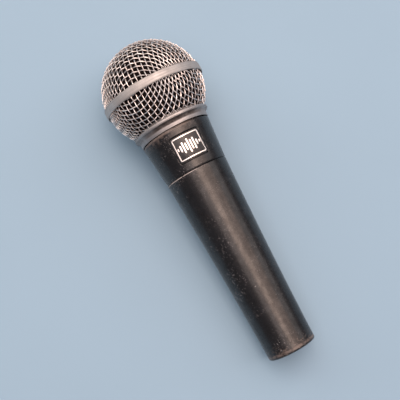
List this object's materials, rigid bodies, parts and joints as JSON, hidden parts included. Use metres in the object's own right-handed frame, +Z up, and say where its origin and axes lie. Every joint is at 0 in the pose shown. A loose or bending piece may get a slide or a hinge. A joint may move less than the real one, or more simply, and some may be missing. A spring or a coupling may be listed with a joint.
{
  "type": "dynamic microphone",
  "caption": "Handheld vocal dynamic microphone with a woven ball grille, a tapered handle, a sprung moving-coil cartridge and a three-pin socket.",
  "frame": {"origin": "centre of the box's base, on the surface that the microphone lies on", "axes": "+X towards the ball, +Z up from that surface; the microphone's own axis rises by 5.8 degrees from the tail to the ball"},
  "size_m": [0.1604, 0.05, 0.0501],
  "materials": {
    "black_enamel": "semi-matt baked enamel with light handling wear",
    "badge_black": "satin black nameplate",
    "badge_silver": "bright raised marks",
    "insert_plastic": "moulded black insulator",
    "contact_metal": "silver-plated contact brass",
    "screw_steel": "blackened steel",
    "isolator_rubber": "soft moulded rubber",
    "core_steel": "varnished lamination stack",
    "bobbin_plastic": "natural nylon",
    "winding_copper": "enamelled copper wire",
    "sleeve_foam": "open-cell foam",
    "lead_red": "PVC insulation",
    "lead_black": "PVC insulation",
    "lead_green": "PVC insulation",
    "chamber_plastic": "moulded plastic",
    "board_laminate": "phenolic board",
    "capsule_aluminium": "turned aluminium",
    "damping_felt": "thin acoustic cloth",
    "yoke_steel": "nickel-plated soft iron",
    "magnet_alloy": "cast magnet alloy",
    "diaphragm_film": "clear polyester film",
    "cap_plastic": "moulded plastic",
    "seal_rubber": "black nitrile",
    "liner_foam": "reticulated black foam",
    "grille_silver": "matt nickel plating",
    "band_silver": "matt nickel plating",
    "mesh_wire": "matt nickel-plated steel wire"
  },
  "bodies": {
    "body": {"handle": "black_enamel", "head_collar": "black_enamel", "badge_plate": "badge_black", "badge_marks": "badge_silver", "socket_insert": "insert_plastic", "contact_pin_1": "contact_metal", "contact_pin_2": "contact_metal", "contact_pin_3": "contact_metal", "ground_tab": "contact_metal", "insert_set_screw": "screw_steel", "cartridge_isolator": "isolator_rubber", "transformer_core": "core_steel", "transformer_bobbin": "bobbin_plastic", "transformer_winding": "winding_copper", "transformer_sleeve": "sleeve_foam", "output_lead_1": "lead_green", "output_lead_2": "lead_red", "output_lead_3": "lead_black", "capsule_lead_hot": "lead_red", "capsule_lead_cold": "lead_black"},
    "cartridge": {"rear_chamber": "chamber_plastic", "terminal_board": "board_laminate", "cartridge_terminals": "contact_metal", "capsule_frame": "capsule_aluminium", "rear_cloth": "damping_felt", "magnet_cup": "yoke_steel", "magnet": "magnet_alloy", "pole_piece": "yoke_steel", "top_plate": "yoke_steel", "front_cap": "cap_plastic", "front_cloth": "damping_felt"},
    "moving_coil": {"voice_coil": "winding_copper", "diaphragm": "diaphragm_film"},
    "seal": {"grille_seal": "seal_rubber"},
    "liner": {"foam_liner": "liner_foam"},
    "grille": {"grille_collar": "grille_silver", "grille_band": "band_silver", "grille_lower_mesh": "mesh_wire", "grille_upper_mesh": "mesh_wire"}
  },
  "joints": [
    {"name": "grille_lift_off", "type": "slide", "parent": "body", "child": "seal", "axis": [0.9949, 0, 0.1005], "range_m": [0, 0.058]},
    {"name": "grille_thread_travel", "type": "slide", "parent": "seal", "child": "liner", "axis": [0.9949, 0, 0.1005], "range_m": [0, 0.00301]},
    {"name": "grille_unscrew", "type": "hinge", "parent": "liner", "child": "grille", "pos_m": [0.03631, 0, 0.02314], "axis": [0.9949, 0, 0.1005], "range_deg": [0, 1440]},
    {"name": "cartridge_float", "type": "slide", "parent": "body", "child": "cartridge", "axis": [0.9949, 0, 0.1005], "range_m": [-0.0006, 0.0006], "stiffness_N_per_m": 4000, "deforming": ["cartridge_isolator", "capsule_lead_hot", "capsule_lead_cold"]},
    {"name": "diaphragm_travel", "type": "slide", "parent": "cartridge", "child": "moving_coil", "axis": [0.9949, 0, 0.1005], "range_m": [-0.00025, 0.00025], "stiffness_N_per_m": 400, "deforming": ["diaphragm"]}
  ],
  "couplings": [
    {"joint": "grille_thread_travel", "follows": "grille_unscrew", "m_per_rad": 0.00011937}
  ]
}
